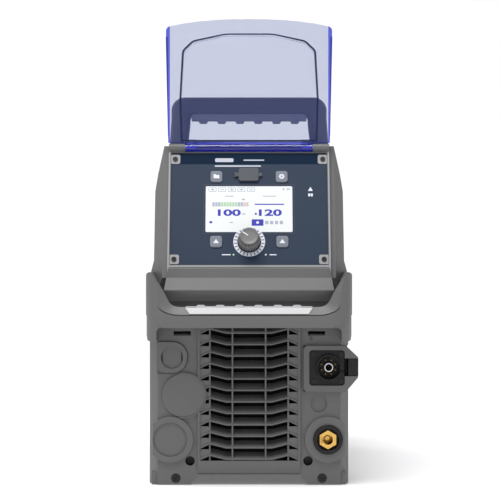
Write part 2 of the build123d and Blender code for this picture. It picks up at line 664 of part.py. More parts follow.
# ---- control panel and what sits on it ----
plate = rounded_plate(0, 77.5, panel_w - 0.4, 151.0, 2.8, plate_n - plate_t, plate_n)
plate -= rounded_plate(0, display_s, display_w, display_h, 2, -6, 0)
button_spots = {"button_menu": (-button_x, button_high_s), "button_settings": (button_x, button_high_s),
                "button_down": (-button_x, button_low_s), "button_up": (button_x + 0.4, button_low_s)}
for x, s in button_spots.values():
    plate -= rounded_plate(x, s, button_size + 2 * fit, button_size + 2 * fit, 3.4, -6, 0)
plate -= rod_z(0.2, knob_s, sleeve_r + 1.0, -6, 0)
plate -= rounded_plate(-0.5, usb_s, 14.0, 8.0, 1, -6, 0)
for x in (-19.1, 20.6):
    plate -= rod_z(x, 15.9, 1.2, -6, 0)
for x in (-screw_x, screw_x):
    for s in (screw_low_s, screw_high_s):
        plate -= rod_z(x, s, screw_r + 0.1, -6, 0)
save("control_panel", on_panel(plate))
screws = []
for x in (-screw_x, screw_x):
    for s in (screw_low_s, screw_high_s):
        screw = rod_z(x, s, 3.2, plate_n, plate_n + 1.5) + rod_z(x, s, screw_r, plate_n - 9, plate_n + 0.2)
        screw -= Pos(x, s, plate_n + 1.6) * Box(3.6, 0.8, 1.6)
        screw -= Pos(x, s, plate_n + 1.6) * Box(0.8, 3.6, 1.6)
        screws.append(on_panel(screw))
save("panel_screws", *screws)
lens = rounded_plate(0, display_s, display_w - 0.2, display_h - 0.2, 2, plate_n - 1.8, plate_n - 0.2)
save("display_lens", on_panel(lens))
module = rounded_plate(0, display_s, display_w + 6, display_h + 7, 1, -19.0, plate_n - plate_t)
module += rounded_plate(0, display_s, display_w - 1, display_h - 1, 1, -6, plate_n - 1.9)
save("display_module", on_panel(module))
board_n = -21.0
board = rounded_plate(0, 77.5, 176.0, 134.0, 2, board_n - 1.6, board_n)
for x in (-80.0, 80.0):
    for s in (16.0, 139.0):
        board += rod_z(x, s, 3.0, board_n, plate_n - plate_t)
for x, s, w, h, t in ((-70.0, 77.0, 12.0, 30.0, 8.0), (70.0, 60.0, 14.0, 14.0, 3.0), (70.0, 90.0, 10.0, 24.0, 6.0)):
    board += rounded_plate(x, s, w, h, 0.5, board_n - 0.5, board_n + t)
save("control_board", on_panel(board))
for name, (x, s) in button_spots.items():
    button = rounded_plate(x, s, button_size, button_size, 3, plate_n - 2.5, plate_n + 1.6)
    button += rounded_plate(x, s, 4.0, 4.0, 0.5, -17.0, plate_n - 2)
    save(name, on_panel(button))
encoder = rounded_plate(0.2, knob_s, 16.0, 16.0, 1, board_n, -9.0)
encoder -= rod_z(0.2, knob_s, sleeve_r + run, board_n + 1.4, 0)
save("encoder_body", on_panel(encoder))
sleeve = rod_z(0.2, knob_s, sleeve_r, -18.0, -4.0) - rod_z(0.2, knob_s, shaft_r + run, -19, 0)
save("encoder_sleeve", on_panel(sleeve))
shaft = rod_z(0.2, knob_s, shaft_r, -18.4, 12.0)
save("encoder_shaft", on_panel(shaft))
knob = rod_z(0.2, knob_s, knob_r, 0.6, 9.5)
cap_face = Solid.make_cone(knob_r - 1.2, knob_r - 2.6, knob_top_n - 9.0, Plane((0.2, knob_s, 9.0)))
knob += cap_face
for k in range(24):
    turn = math.radians(15 * k)
    knob -= rod_z(0.2 + knob_r * math.cos(turn), knob_s + knob_r * math.sin(turn), 0.8, 0, 9.0)
knob -= rod_z(0.2, knob_s, shaft_r, 0, 12.0)
save("knob", on_panel(knob))
port = rounded_plate(-0.5, usb_s, 13.4, 6.0, 0.6, board_n, plate_n - 0.8)
port -= rounded_plate(-0.5, usb_s, 12.0, 4.6, 0.4, -14.0, 0)
port += rounded_plate(-0.5, usb_s, 11.0, 1.4, 0.2, -15.0, -4.0)
save("usb_port", on_panel(port))
cap_w = 24.8
cap_h = 17.4
cap = rounded_plate(-0.5, usb_s, cap_w, cap_h, 3, plate_n + fit, plate_n + 3.2)
cap += rounded_plate(cap_w / 2 - 0.5 + 1.6, usb_s, 5.6, 5.0, 1.6, plate_n + fit, plate_n + 2.4)
cap += rod((-17.2, usb_s - 3.2, plate_n + 1.6), (0, 1, 0), 1.2, 6.4)
cap += box(-16.8, -12.0, usb_s - 2.6, usb_s + 2.6, plate_n + 0.8, plate_n + 2.2)
save("usb_cap", on_panel(cap))

# ---- sheet metal case ----
base_z = foot_h
base = box(-case + sheet, case - sheet, front_y + 14, rear_y - 14, base_z, base_z + 2)
base += box(-case + sheet, -case + sheet + 2, frame_back_y + 4, rear_front_y - 4, base_z, base_z + 14)
base += box(case - sheet - 2, case - sheet, frame_back_y + 4, rear_front_y - 4, base_z, base_z + 14)
trolley_x = 70.0
trolley_y = 150.0
trolley_r = 3.3
for x in (-trolley_x, trolley_x):
    for y in (-trolley_y, trolley_y):
        base -= rod_z(x, y, trolley_r, base_z - 1, base_z + 3)
save("base_plate", base)
side_top = 361.0
slot_rows = 8
slot_pitch = 12.0


def side_panel(sign):
    x0, x1 = sorted((sign * (case - sheet), sign * case))
    body = box(x0, x1, frame_back_y, rear_front_y, base_z, side_top)
    for group in (-1, 1):
        for k in range(slot_rows):
            z = 210.0 + k * slot_pitch
            y = 30.0 + group * 62.0
            body -= box(x0 - 1, x1 + 1, y - 45.0, y + 45.0, z, z + 4.5)
    return body


cover_top = house_top - 2.0
cover_out = both([(case, side_top), (case, 364.0, 3), (104.5, cover_top, 8)])
cover_in = both([(case - sheet, side_top - 1), (case - sheet, 363.6, 2), (103.5, cover_top - sheet, 7)])
cover = front_prism(cover_out, frame_back_y, rear_front_y) - front_prism(cover_in, -160, 215)
save("top_cover", cover)
screws = []
for sign in (-1, 1):
    for y in (-135.0, -20.0, 80.0, 190.0):
        screw = rod((sign * case, y, 340.0), (sign, 0, 0), 5.0, 2.0)
        screw += rod((sign * (case - 6), y, 340.0), (sign, 0, 0), 2.0, 7.0)
        screws.append(screw)
for y in (-135.0, 190.0):
    for sign in (-1, 1):
        screw = rod((sign * case, y, 60.0), (sign, 0, 0), 5.0, 2.0)
        screw += rod((sign * (case - 6), y, 60.0), (sign, 0, 0), 2.0, 7.0)
        screws.append(screw)
holes_left = side_panel(-1)
holes_right = side_panel(1)
for screw in screws:
    holes_left -= screw
    holes_right -= screw
save("side_panel_left", holes_left)
save("side_panel_right", holes_right)
save("cover_screws", *screws)
feet = []
for x in (-98.0, 98.0):
    for y in (front_y + 27, rear_y - 27):
        feet.append(rod_z(x, y, 12.0, 0.0, foot_pad))
save("rubber_feet", *feet)

# ---- rear moulding ----
rear_t = 57.0
outer = [(low, rear_front_y), (low, rear_y - corner_back), (low - corner_in, rear_y)]
inner = [(low - wall, rear_front_y - 1), (low - wall, rear_y - corner_back - 0.6), (low - corner_in - 2.2, rear_y - wall)]
outer_pts = outer + [(-p[0], p[1]) for p in reversed(outer)]
inner_pts = inner + [(-p[0], p[1]) for p in reversed(inner)]
rear_side = [(rear_front_y, floor_gap), (rear_y, floor_gap), (rear_y, 375.0, 12), (rear_y - 26.0, house_top, 12),
             (rear_front_y, house_top)]
rear_side_in = [(rear_front_y - 1, -1.0), (rear_y - wall, -1.0), (rear_y - wall, 374.0, 9),
                (rear_y - 27.6, house_top - wall, 9), (rear_front_y - 1, house_top - wall)]
silhouette = both([(low, floor_gap), (low, 262.0), (mid, 276.0), (mid, 363.0), (114.7, 385.0), (shoulder, house_top + 1)])
silhouette_in = both([(low - wall, -1), (low - wall, 261.0), (mid - wall, 275.0), (mid - wall, 362.0),
                      (114.7 - wall, 384.0), (shoulder - wall, house_top - 2)])
rear = plan_prism(outer_pts, floor_gap, house_top) & side_prism(rear_side, -130, 130)
rear &= front_prism(silhouette, rear_front_y, rear_y)
hollow = plan_prism(inner_pts, -1, house_top) & side_prism(rear_side_in, -130, 130)
hollow &= front_prism(silhouette_in, rear_front_y - 1, rear_y)
rear -= hollow
for sign in (-1, 1):
    x0, x1 = sorted((sign * (notch_high + 1), sign * (low - wall + 0.5)))
    rear += box(x0, x1, rear_y - 60, rear_y - wall + 0.5, floor_gap, foot_h)
rear -= front_prism(notch, rear_y - 70, rear_y + 1)
rear -= rod_y(0, fan_z, fan_r + 4, rear_y - wall - 1, rear_y + 1)
rear -= rod_y(gland_x, gland_z, gland_r + 4.0, rear_y - wall - 1, rear_y + 1)
rear -= rod_y(switch_x, switch_z, 12.0, rear_y - wall - 1, rear_y + 1)
rear -= rod_y(air_x, air_z, 9.0, rear_y - wall - 1, rear_y + 1)
for x in (-98.0, 98.0):
    rear -= rod_z(x, rear_y - 27, 12.0, floor_gap - 1, foot_pad)
save("rear_frame", rear)
rear_envelope = rear + hollow
rear_shift = rear_y + front_y
rear_handle = Pos(0, rear_shift, 0) * mirror_y(make_handle()) - rear_envelope
rear_grip = Pos(0, rear_shift, 0) * mirror_y(make_front_grip())
rear_handle = largest(rear_handle - rear_grip)
save("rear_handle", rear_handle)
save("rear_handle_grip", rear_grip)

# ---- fan ----
fan_half = fan_size / 2
fan_y0 = 214.0
fan_y1 = rear_y - wall
rotor_y0 = 220.0
rotor_y1 = 246.0
hub_r = 22.0
fan_frame = front_prism([(-fan_half, fan_z - fan_half, 5), (fan_half, fan_z - fan_half, 5),
                         (fan_half, fan_z + fan_half, 5), (-fan_half, fan_z + fan_half, 5)], fan_y0, fan_y1)
fan_frame -= rod_y(0, fan_z, fan_r + 2.5, fan_y0 - 1, fan_y1 + 1)
fan_frame += rod_y(0, fan_z, hub_r, rotor_y1 + 3, fan_y1)
for k in range(4):
    arm = box(hub_r - 2, fan_r + 4, rotor_y1 + 3, fan_y1, -3, 3)
    fan_frame += Pos(0, 0, fan_z) * (Rot(0, 45 + 90 * k, 0) * arm)
fan_frame += rod_y(0, fan_z, 3.0, rotor_y0 + 6, rotor_y1 + 4)
save("fan_frame", fan_frame)
rotor = rod_y(0, fan_z, hub_r, rotor_y0, rotor_y1 + 1)
for k in range(9):
    centre = (rotor_y0 + rotor_y1) / 2
    blade = Pos(0, 0, (hub_r - 2 + fan_r) / 2) * (Rot(0, 0, 52) * Box(2.4, 38.0, fan_r - hub_r + 2))
    blade &= rod_y(0, 0, fan_r, -13, 13)
    rotor += Pos(0, centre, fan_z) * (Rot(0, 40 * k, 0) * blade)
rotor -= rod_y(0, fan_z, 3.0 + run, rotor_y0 + 5, rotor_y1 + 2)
save("fan_rotor", rotor)
guard = []
ring_r = 1.3
guard_y = rear_y + ring_r
for r in (14.0, 26.0, 38.0, 50.0, 62.0):
    guard.append(Solid.make_torus(r, ring_r, Plane(origin=(0, guard_y, fan_z), z_dir=(0, 1, 0))))
body = guard[0]
for ring in guard[1:]:
    body += ring
for k in range(2):
    bar = rod((-fan_r - 9, 0, 0), (1, 0, 0), ring_r, 2 * fan_r + 18)
    body += Pos(0, guard_y + 0.8, fan_z) * (Rot(0, 45 + 90 * k, 0) * bar)
for k in range(4):
    lug = rod((fan_r + 8, 0, 0), (0, 1, 0), 4.5, 2.4)
    body += Pos(0, rear_y, fan_z) * (Rot(0, 45 + 90 * k, 0) * lug)
save("fan_guard", body)

# ---- mains switch, gland and air inlet ----
switch = box(switch_x - 22, switch_x + 22, 216.0, rear_y - wall, switch_z - 24, switch_z + 24)
switch += rod_y(switch_x, switch_z, 12.0, rear_y - wall - 1, rear_y + 2)
switch += rod_y(switch_x, switch_z, 24.0, rear_y, rear_y + 2)
switch += rod_y(switch_x, switch_z, 4.0, rear_y + 1, rear_y + 16)
save("mains_switch_body", switch)
turner = rod_y(switch_x, switch_z, 20.0, rear_y + 2 + fit, rear_y + 9)
turner += front_prism([(switch_x - 5.5, switch_z - 19.0, 3), (switch_x + 5.5, switch_z - 19.0, 3),
                       (switch_x + 5.5, switch_z + 19.0, 3), (switch_x - 5.5, switch_z + 19.0, 3)],
                      rear_y + 8, rear_y + 24)
turner -= rod_y(switch_x, switch_z, 4.0 + run, rear_y + 1, rear_y + 17)
save("mains_switch_knob", turner)
hexagon = [(gland_x + 15.6 * math.cos(k * math.pi / 3), gland_z + 15.6 * math.sin(k * math.pi / 3)) for k in range(6)]
gland = front_prism(hexagon, rear_y, rear_y + 7)
gland += rod_y(gland_x, gland_z, gland_r + 4.0, rear_y - 18, rear_y + 1)
gland += rod_y(gland_x, gland_z, 15.0, rear_y - wall - 6, rear_y - wall)
gland += rod_y(gland_x, gland_z, 13.2, rear_y + 6, rear_y + 22)
gland -= rod_y(gland_x, gland_z, gland_r, rear_y - 19, rear_y + 23)
save("cable_gland", gland)
inlet = rod_y(air_x, air_z, 9.0, rear_y - wall - 14, rear_y + 1)
hexagon = [(air_x + 13 * math.cos(k * math.pi / 3), air_z + 13 * math.sin(k * math.pi / 3)) for k in range(6)]
inlet += front_prism(hexagon, rear_y, rear_y + 9)
inlet += rod_y(air_x, air_z, 6.5, rear_y + 8, rear_y + 30)
inlet -= rod_y(air_x, air_z, air_r, rear_y + 5, rear_y + 31)
inlet -= rod_y(air_x, air_z, 3.0, rear_y - 30, rear_y + 6)
save("air_inlet", inlet)

# ---- inside ----
deck_z = base_z + 2
fin_count = 13
sink = box(-44, 44, -130, 120, 210, 218)
for k in range(fin_count):
    x = -43 + k * 86 / (fin_count - 1)
    sink += box(x - 1.0, x + 1.0, -130, 120, 217, 262)
for x in (-44, 40):
    sink += box(x, x + 4, -130, 120, deck_z, 211)
save("heatsink", sink)
modules = box(-34, 34, -110, -60, 198, 210) + box(-34, 34, -40, 10, 198, 210)
modules += box(-34, 34, 30, 80, 198, 210)
board = box(-38, 38, -125, 110, 186, 188)
caps = [rod_z(x, y, 13.0, 150, 186) for x in (-20, 20) for y in (-95, -55)]
for cap_rod in caps:
    board += cap_rod
board += box(-30, 30, -118, 100, 187.9, 198)
save("power_board", board)
save("power_modules", modules)
core = box(-34, 34, 60, 112, deck_z, 98) - box(-20, -9, 50, 120, deck_z + 14, 84) - box(9, 20, 50, 120, deck_z + 14, 84)
save("transformer_core", core)
winding = box(-19.5, 19.5, 50, 122, deck_z + 15, 83)
winding -= box(-9, 9, 60, 112, deck_z + 10, 90)
save("transformer_winding", winding)
choke = Solid.make_torus(24, 11, Plane(origin=(0, -30, deck_z + 38), z_dir=(0, 1, 0)))
choke += box(-20, 20, -38, -22, deck_z, deck_z + 8)
save("output_choke", choke)
valve = box(72, 96, 150, 190, 58, 82) + rod_z(84, 170, 11, 81, 118)
valve += rod_y(84, 70, 6.0, 189, 200)
valve -= rod_y(84, 70, 3.5, 180, 201)
save("solenoid_valve", valve)
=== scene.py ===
import bpy
import bmesh
import json
import math
import numpy as np
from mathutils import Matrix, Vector


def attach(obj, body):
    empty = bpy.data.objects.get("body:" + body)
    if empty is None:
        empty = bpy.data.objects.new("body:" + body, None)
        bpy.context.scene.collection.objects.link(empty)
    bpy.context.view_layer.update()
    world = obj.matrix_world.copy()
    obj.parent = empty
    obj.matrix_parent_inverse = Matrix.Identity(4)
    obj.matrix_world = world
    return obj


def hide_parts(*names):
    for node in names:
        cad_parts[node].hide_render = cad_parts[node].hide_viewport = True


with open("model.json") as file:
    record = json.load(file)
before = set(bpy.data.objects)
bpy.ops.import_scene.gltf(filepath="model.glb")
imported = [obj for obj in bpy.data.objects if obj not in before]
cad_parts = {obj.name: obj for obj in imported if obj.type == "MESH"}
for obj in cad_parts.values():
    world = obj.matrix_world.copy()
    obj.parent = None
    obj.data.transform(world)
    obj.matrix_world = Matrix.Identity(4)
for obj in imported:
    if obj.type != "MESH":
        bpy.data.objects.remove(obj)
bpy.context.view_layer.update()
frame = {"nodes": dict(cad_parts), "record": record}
nodes = frame["nodes"]
bodyOfNode = {}
for bodyName, members in frame["record"]["behaviour"]["bodies"].items():
    for member in members:
        bodyOfNode[member] = bodyName
mm = 0.001
print("frame loaded:", len(nodes), "nodes")

# the control panel's own coordinates: across, up the slope, outwards (millimetres)
panelPlace = {"tilt": 22.0, "y": -270.0, "z": 269.0, "face": -1.5}
tiltSin = math.sin(math.radians(panelPlace["tilt"]))
tiltCos = math.cos(math.radians(panelPlace["tilt"]))


def panelPoint(x, s, n):
    # x stays, y and z follow the slope by s and step off it by n
    x, s, n = np.broadcast_arrays(x, s, n)
    y = panelPlace["y"] + s * tiltSin - n * tiltCos
    z = panelPlace["z"] + s * tiltCos + n * tiltSin
    return np.stack([x, y, z], axis=-1) * mm


def rearPoint(u, z, y):
    # as seen from behind: across runs the other way
    u, z, y = np.broadcast_arrays(u, z, y)
    return np.stack([-u, y, z], axis=-1) * mm


# finishes: each one is worked out from the piece's own coordinates
def newMaterial(name, colour, roughness, metallic=0.0, specular=0.5):
    made = bpy.data.materials.new(name)
    made.use_nodes = True
    shader = made.node_tree.nodes["Principled BSDF"]
    shader.inputs["Base Color"].default_value = (*colour, 1.0)
    shader.inputs["Roughness"].default_value = roughness
    shader.inputs["Metallic"].default_value = metallic
    shader.inputs["Specular IOR Level"].default_value = specular
    return made, made.node_tree, shader


def objectNoise(tree, scale, detail=3.0, stretch=None):
    coords = tree.nodes.new("ShaderNodeTexCoord")
    noise = tree.nodes.new("ShaderNodeTexNoise")
    noise.inputs["Scale"].default_value = scale
    noise.inputs["Detail"].default_value = detail
    link = coords.outputs["Object"]
    if stretch:
        mapping = tree.nodes.new("ShaderNodeMapping")
        mapping.inputs["Scale"].default_value = stretch
        tree.links.new(link, mapping.inputs["Vector"])
        link = mapping.outputs["Vector"]
    tree.links.new(link, noise.inputs["Vector"])
    return noise.outputs["Fac"]


def spread(tree, factor, low, high):
    # maps a noise value onto a range
    ranged = tree.nodes.new("ShaderNodeMapRange")
    ranged.inputs["From Min"].default_value = 0.3
    ranged.inputs["From Max"].default_value = 0.7
    ranged.inputs["To Min"].default_value = low
    ranged.inputs["To Max"].default_value = high
    tree.links.new(factor, ranged.inputs["Value"])
    return ranged.outputs["Result"]


def tinted(tree, factor, dark, light):
    mix = tree.nodes.new("ShaderNodeMix")
    mix.data_type = "RGBA"
    mix.inputs[6].default_value = (*dark, 1.0)
    mix.inputs[7].default_value = (*light, 1.0)
    tree.links.new(factor, mix.inputs[0])
    return mix.outputs[2]


def bumped(tree, shader, height, strength, distance):
    bump = tree.nodes.new("ShaderNodeBump")
    bump.inputs["Strength"].default_value = strength
    bump.inputs["Distance"].default_value = distance
    tree.links.new(height, bump.inputs["Height"])
    tree.links.new(bump.outputs["Normal"], shader.inputs["Normal"])


def grained(name, colour, roughness, grain=2600.0, strength=0.35, metallic=0.0, vary=0.06, specular=0.5):
    # moulded or coated surface: slight cloudiness, a fine grain in the gloss and the bump
    made, tree, shader = newMaterial(name, colour, roughness, metallic, specular)
    cloud = objectNoise(tree, 14.0, 4.0)
    dark = tuple(c * (1 - vary) for c in colour)
    light = tuple(c * (1 + vary) for c in colour)
    tree.links.new(tinted(tree, cloud, dark, light), shader.inputs["Base Color"])
    grainy = objectNoise(tree, grain, 2.0)
    tree.links.new(spread(tree, grainy, roughness - 0.05, roughness + 0.06), shader.inputs["Roughness"])
    bumped(tree, shader, grainy, strength, 0.0002)
    return made


def brushedMetal(name, colour, roughness, stretch):
    made, tree, shader = newMaterial(name, colour, roughness, 1.0)
    lines = objectNoise(tree, 900.0, 3.0, stretch)
    tree.links.new(spread(tree, lines, roughness - 0.07, roughness + 0.1), shader.inputs["Roughness"])
    dark = tuple(c * 0.85 for c in colour)
    tree.links.new(tinted(tree, lines, dark, colour), shader.inputs["Base Color"])
    return made


def glowing(name, colour, strength):
    made, tree, shader = newMaterial(name, colour, 0.35)
    shader.inputs["Emission Color"].default_value = (*colour, 1.0)
    shader.inputs["Emission Strength"].default_value = strength
    faint = objectNoise(tree, 400.0)
    tree.links.new(spread(tree, faint, 0.3, 0.4), shader.inputs["Roughness"])
    return made


def objectPosition(tree):
    # the three parts of a place on the object, in metres
    coords = tree.nodes.new("ShaderNodeTexCoord")
    split = tree.nodes.new("ShaderNodeSeparateXYZ")
    tree.links.new(coords.outputs["Object"], split.inputs["Vector"])
    return split.outputs["X"], split.outputs["Y"], split.outputs["Z"]


def calculated(tree, operation, first, second=None):
    maths = tree.nodes.new("ShaderNodeMath")
    maths.operation = operation
    for socket, value in zip(maths.inputs, (first, second)):
        if value is None:
            continue
        if isinstance(value, (int, float)):
            socket.default_value = value
        else:
            tree.links.new(value, socket)
    return maths.outputs["Value"]


def clearPlastic(name, colour, depth, roughness):
    # clear skin over a volume that takes in more light the longer the way through it
    made, tree, shader = newMaterial(name, (1.0, 1.0, 1.0), roughness)
    shader.inputs["Transmission Weight"].default_value = 1.0
    shader.inputs["IOR"].default_value = 1.49
    haze = objectNoise(tree, 60.0, 2.0)
    tree.links.new(spread(tree, haze, roughness, roughness + 0.03), shader.inputs["Roughness"])
    inside = tree.nodes.new("ShaderNodeVolumeAbsorption")
    inside.inputs["Color"].default_value = (*colour, 1.0)
    inside.inputs["Density"].default_value = depth
    output = tree.nodes["Material Output"]
    tree.links.new(inside.outputs["Volume"], output.inputs["Volume"])
    return made


def paintedEdgeLight(material, side, low):
    # painted light: the sheet glows faintly blue all over, and near its sides and along the hinge edge it
    # glows brighter and is tinted deeper blue
    tree = material.node_tree
    shader = tree.nodes["Principled BSDF"]
    x, y, z = objectPosition(tree)
    atSide = calculated(tree, "GREATER_THAN", calculated(tree, "ABSOLUTE", x), side)
    atHinge = calculated(tree, "LESS_THAN", z, low)
    edge = calculated(tree, "MAXIMUM", atSide, atHinge)
    tree.links.new(tinted(tree, edge, lidLook["glow"], lidLook["edgeGlow"]), shader.inputs["Emission Color"])
    tree.links.new(tinted(tree, edge, (1.0, 1.0, 1.0), lidLook["edgeTint"]), shader.inputs["Base Color"])
    shader.inputs["Emission Strength"].default_value = 1.0


def darkBore(material, x0, z0, radius):
    # the inside of a small tube sees no light
    tree = material.node_tree
    shader = tree.nodes["Principled BSDF"]
    x, y, z = objectPosition(tree)
    dx = calculated(tree, "SUBTRACT", x, x0)
    dz = calculated(tree, "SUBTRACT", z, z0)
    distance = calculated(tree, "SQRT", calculated(tree, "ADD", calculated(tree, "MULTIPLY", dx, dx),
                                                   calculated(tree, "MULTIPLY", dz, dz)))
    inside = calculated(tree, "LESS_THAN", distance, radius)
    plain = shader.inputs["Base Color"].links[0].from_socket
    mix = tree.nodes.new("ShaderNodeMix")
    mix.data_type = "RGBA"
    tree.links.new(inside, mix.inputs[0])
    tree.links.new(plain, mix.inputs[6])
    mix.inputs[7].default_value = (0.012, 0.010, 0.008, 1.0)
    tree.links.new(mix.outputs[2], shader.inputs["Base Color"])


finish = {
    "shellGrey": (0.104, 0.104, 0.106), "handleGrey": (0.108, 0.108, 0.110),
    "caseGrey": (0.094, 0.095, 0.098), "gripLight": (0.45, 0.45, 0.463),
    "navy": (0.016, 0.029, 0.054), "trim": (0.26, 0.26, 0.27),
}
# the lid's glow, edge glow and edge tint are painted light: an emission over the whole sheet, brighter and
# deeper blue at its sides and hinge edge
lidLook = {
    "tint": (0.0, 0.075, 0.27), "depth": 226.0, "glow": (0.005, 0.010, 0.050),
    "edgeGlow": (0.008, 0.010, 0.14), "edgeTint": (0.16, 0.18, 0.68), "side": 0.0995, "low": 0.4245,
}
shellGrey = grained("shellGrey", finish["shellGrey"], 0.52)
handleGrey = grained("handleGrey", finish["handleGrey"], 0.5)
caseGrey = grained("caseGrey", finish["caseGrey"], 0.45, 1500.0, 0.3)
# light grey for the corner pads, also used for the bezel strips that paint a highlight
trimGrey = grained("trimGrey", finish["trim"], 0.4, 1500.0, 0.1)
gripLight = grained("gripLight", finish["gripLight"], 0.5, 1800.0, 0.15, 0.0, 0.02)
panelNavy = grained("panelNavy", finish["navy"], 0.5, 2400.0, 0.08, 0.0, 0.1, 0.2)
panelDeep = grained("panelDeep", (0.003, 0.013, 0.033), 0.5, 2400.0, 0.08, 0.0, 0.1, 0.06)
blackPlastic = grained("blackPlastic", (0.009, 0.009, 0.010), 0.45, 2600.0, 0.3, 0.0, 0.06, 0.3)
blackGloss = grained("blackGloss", (0.005, 0.005, 0.006), 0.3, 1200.0, 0.08, 0.0, 0.06, 0.3)
rubberBlack = grained("rubberBlack", (0.012, 0.012, 0.012), 0.75, 1800.0, 0.35, 0.0, 0.06, 0.25)
filterFoam = grained("filterFoam", (0.005, 0.005, 0.005), 0.9, 500.0, 1.0, 0.0, 0.3, 0.1)
rubberGrey = grained("rubberGrey", (0.068, 0.073, 0.088), 0.6, 1800.0, 0.35, 0.0, 0.06, 0.3)
screwBlack = grained("screwBlack", (0.008, 0.008, 0.009), 0.4, 1200.0, 0.1, 0.3)
keyGrey = grained("keyGrey", (0.15, 0.165, 0.20), 0.5, 1800.0, 0.12, 0.0, 0.04, 0.3)
dialGrey = grained("dialGrey", (0.135, 0.132, 0.132), 0.42, 1500.0, 0.15)
steelPlain = brushedMetal("steelPlain", (0.55, 0.55, 0.56), 0.3, (1.0, 1.0, 12.0))
brassTurned = brushedMetal("brassTurned", (0.76, 0.47, 0.13), 0.24, (1.0, 14.0, 1.0))
pinGold = brushedMetal("pinGold", (0.26, 0.16, 0.06), 0.4, (1.0, 14.0, 1.0))
nickelTube = brushedMetal("nickelTube", (0.72, 0.72, 0.73), 0.2, (1.0, 14.0, 1.0))
darkBore(nickelTube, 0.098, 0.1445, 0.00425)
aluminiumRaw = brushedMetal("aluminiumRaw", (0.66, 0.67, 0.68), 0.36, (1.0, 10.0, 1.0))
copperWire = grained("copperWire", (0.36, 0.12, 0.04), 0.35, 700.0, 0.5, 0.6)
ferriteCore = grained("ferriteCore", (0.045, 0.045, 0.05), 0.6)
boardGreen = grained("boardGreen", (0.015, 0.09, 0.04), 0.35)
screenWhite = glowing("screenWhite", (0.60, 0.62, 0.62), 0.12)
inkWhite = grained("inkWhite", (0.60, 0.62, 0.70), 0.5, 1500.0, 0.05)
inkLavender = grained("inkLavender", (0.42, 0.44, 0.52), 0.5, 1500.0, 0.05)
inkDark = grained("inkDark", (0.02, 0.024, 0.05), 0.5, 1500.0, 0.05)
screenBlue = glowing("screenBlue", (0.010, 0.010, 0.30), 0.15)
screenGrey = glowing("screenGrey", (0.30, 0.33, 0.40), 0.05)
screenGreen = glowing("screenGreen", (0.30, 0.46, 0.30), 0.1)
screenRed = glowing("screenRed", (0.48, 0.36, 0.34), 0.1)
lampGreen = glowing("lampGreen", (0.35, 0.55, 0.40), 0.2)
lidBlue = clearPlastic("lidBlue", lidLook["tint"], lidLook["depth"], 0.02)
# painted glow and deeper blue on the lid's rims
paintedEdgeLight(lidBlue, lidLook["side"], lidLook["low"])
windowClear = clearPlastic("windowClear", (0.9, 0.95, 1.0), 8.0, 0.02)

nodeFinish = {
    "shell_grey": shellGrey, "case_steel": caseGrey, "grip_light": gripLight, "panel_navy": panelNavy,
    "lid_blue": lidBlue, "black_plastic": blackPlastic, "black_gloss": blackGloss,
    "rubber_black": rubberBlack, "rubber_grey": rubberGrey, "screw_black": screwBlack,
    "steel": steelPlain, "brass": brassTurned, "silver_tube": nickelTube, "screen": screenWhite,
    "clear_window": windowClear, "board_green": boardGreen, "key_grey": keyGrey, "dial_grey": dialGrey,
    "aluminium": aluminiumRaw, "copper_wire": copperWire, "ferrite": ferriteCore,
}
slotOfNode = {row["node"]: row["material_slot"] for row in frame["record"]["subparts"]}
nodeMaterial = {name: nodeFinish[slotOfNode[name]] for name in nodes}
nodeMaterial.update({"front_handle": handleGrey, "rear_handle": handleGrey, "torch_pins": pinGold,
                     "air_filter": filterFoam})
for name, node in nodes.items():
    node.data.materials.clear()
    node.data.materials.append(nodeMaterial[name])
print("materials set")


# ways to make a piece: a grid of points, a raised outline, a turned profile, small figures
def newPiece(name, mesh, material, body):
    mesh.materials.clear()
    mesh.materials.append(material)
    piece = bpy.data.objects.new(name, mesh)
    bpy.context.collection.objects.link(piece)
    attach(piece, body)
    return piece


def gridMesh(name, points, closeAround=True, capEnds=True):
    # points[v, u]: rings v along the piece, u around it; quads between rings, flat caps at both ends
    rings, around = points.shape[:2]
    index = np.arange(rings * around).reshape(rings, around)
    here = index[:-1] if closeAround else index[:-1, :-1]
    nextRing = index[1:] if closeAround else index[1:, :-1]
    right = np.roll(index, -1, axis=1)
    hereRight = right[:-1] if closeAround else index[:-1, 1:]
    nextRight = right[1:] if closeAround else index[1:, 1:]
    quads = np.stack([here, hereRight, nextRight, nextRing], axis=-1).reshape(-1, 4).tolist()
    if capEnds:
        quads.append(index[0, ::-1].tolist())
        quads.append(index[-1].tolist())
    mesh = bpy.data.meshes.new(name)
    mesh.from_pydata(points.reshape(-1, 3).tolist(), [], quads)
    mesh.validate()
    outward(mesh)
    return mesh


def outward(mesh):
    work = bmesh.new()
    work.from_mesh(mesh)
    bmesh.ops.recalc_face_normals(work, faces=work.faces)
    work.to_mesh(mesh)
    work.free()


def smoothed(piece, angle=35.0):
    piece.data.shade_smooth()
    piece.data.set_sharp_from_angle(angle=math.radians(angle))


def softEdges(node, width, angle=34.0, segments=2):
    # the node's own shape with merged corners and rounded edges
    mesh = nodes[node].data.copy()
    work = bmesh.new()
    work.from_mesh(mesh)
    bmesh.ops.remove_doubles(work, verts=work.verts, dist=3e-6)
    bmesh.ops.dissolve_limit(work, angle_limit=math.radians(0.8), verts=work.verts, edges=work.edges)
    work.to_mesh(mesh)
    work.free()
    parts = node.split("_")
    label = parts[0] + "".join(p.capitalize() for p in parts[1:])
    piece = newPiece(label + "Shape", mesh, nodeMaterial[node], bodyOfNode[node])
    smoothed(piece, angle)
    bevel = piece.modifiers.new("roundedEdges", "BEVEL")
    bevel.width = width * mm
    bevel.segments = segments
    bevel.limit_method = "ANGLE"
    bevel.angle_limit = math.radians(angle)
    bevel.use_clamp_overlap = True
    bevel.harden_normals = True
    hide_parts(node)
    return piece


